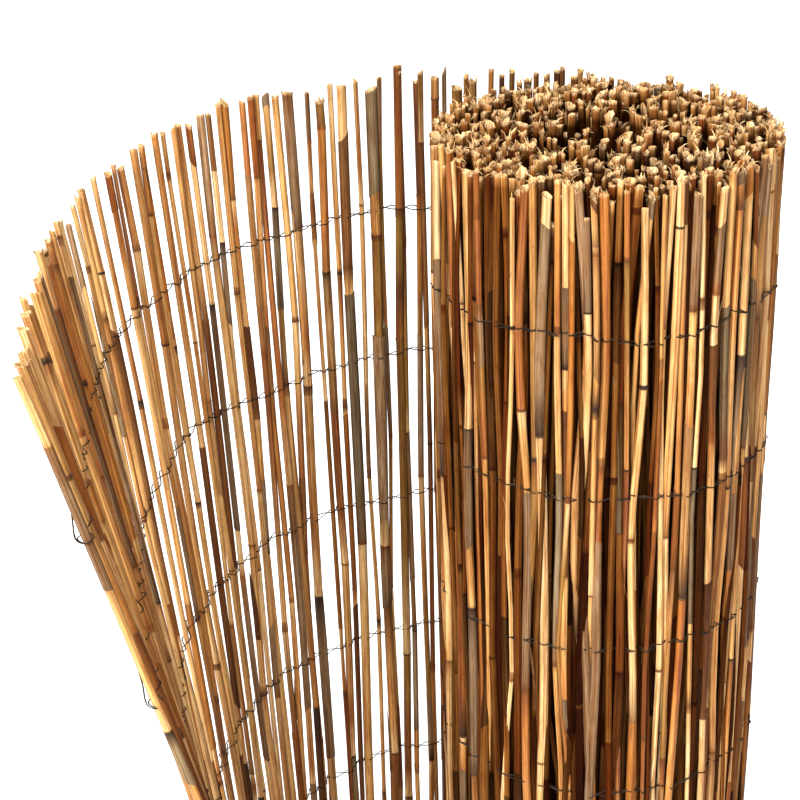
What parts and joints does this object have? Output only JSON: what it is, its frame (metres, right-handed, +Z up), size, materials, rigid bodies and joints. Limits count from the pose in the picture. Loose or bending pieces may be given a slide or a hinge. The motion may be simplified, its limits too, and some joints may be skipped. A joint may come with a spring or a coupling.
{
  "type": "reed screening roll",
  "caption": "Roll of wired reed screening standing on its end, its last stretch unrolled into a curved, leaning flap of single reeds.",
  "frame": {"origin": "centre of the part's box, on the floor it stands on", "axes": "+Z up along the roll's axis, -Y towards the picture's viewer, +X to the viewer's right: the roll is at +X and the flap curls round at -X"},
  "size_m": [0.4212, 0.4356, 1.0118],
  "materials": {
    "inner_reeds": "matte",
    "outer_reeds": "satin",
    "flap_reeds": "satin",
    "wire": "dull dark"
  },
  "bodies": {
    "root": {"inner_turns": "inner_reeds", "outer_turn": "outer_reeds", "reed_01": "flap_reeds", "reed_02": "flap_reeds", "reed_03": "flap_reeds", "reed_04": "flap_reeds", "reed_05": "flap_reeds", "reed_06": "flap_reeds", "reed_07": "flap_reeds", "reed_08": "flap_reeds", "reed_09": "flap_reeds", "reed_10": "flap_reeds", "reed_11": "flap_reeds", "reed_12": "flap_reeds", "reed_13": "flap_reeds", "reed_14": "flap_reeds", "reed_15": "flap_reeds", "reed_16": "flap_reeds", "reed_17": "flap_reeds", "reed_18": "flap_reeds", "reed_19": "flap_reeds", "reed_20": "flap_reeds", "reed_21": "flap_reeds", "reed_22": "flap_reeds", "reed_23": "flap_reeds", "reed_24": "flap_reeds", "reed_25": "flap_reeds", "reed_26": "flap_reeds", "reed_27": "flap_reeds", "reed_28": "flap_reeds", "reed_29": "flap_reeds", "reed_30": "flap_reeds", "reed_31": "flap_reeds", "reed_32": "flap_reeds", "reed_33": "flap_reeds", "reed_34": "flap_reeds", "reed_35": "flap_reeds", "reed_36": "flap_reeds", "reed_37": "flap_reeds", "reed_38": "flap_reeds", "reed_39": "flap_reeds", "reed_40": "flap_reeds", "reed_41": "flap_reeds", "reed_42": "flap_reeds", "reed_43": "flap_reeds", "reed_44": "flap_reeds", "reed_45": "flap_reeds", "wire_row_1": "wire", "wire_row_2": "wire", "wire_row_3": "wire", "wire_row_4": "wire", "wire_row_5": "wire", "wire_row_6": "wire", "wire_row_7": "wire", "wire_row_8": "wire", "wire_row_9": "wire"}
  },
  "joints": []
}
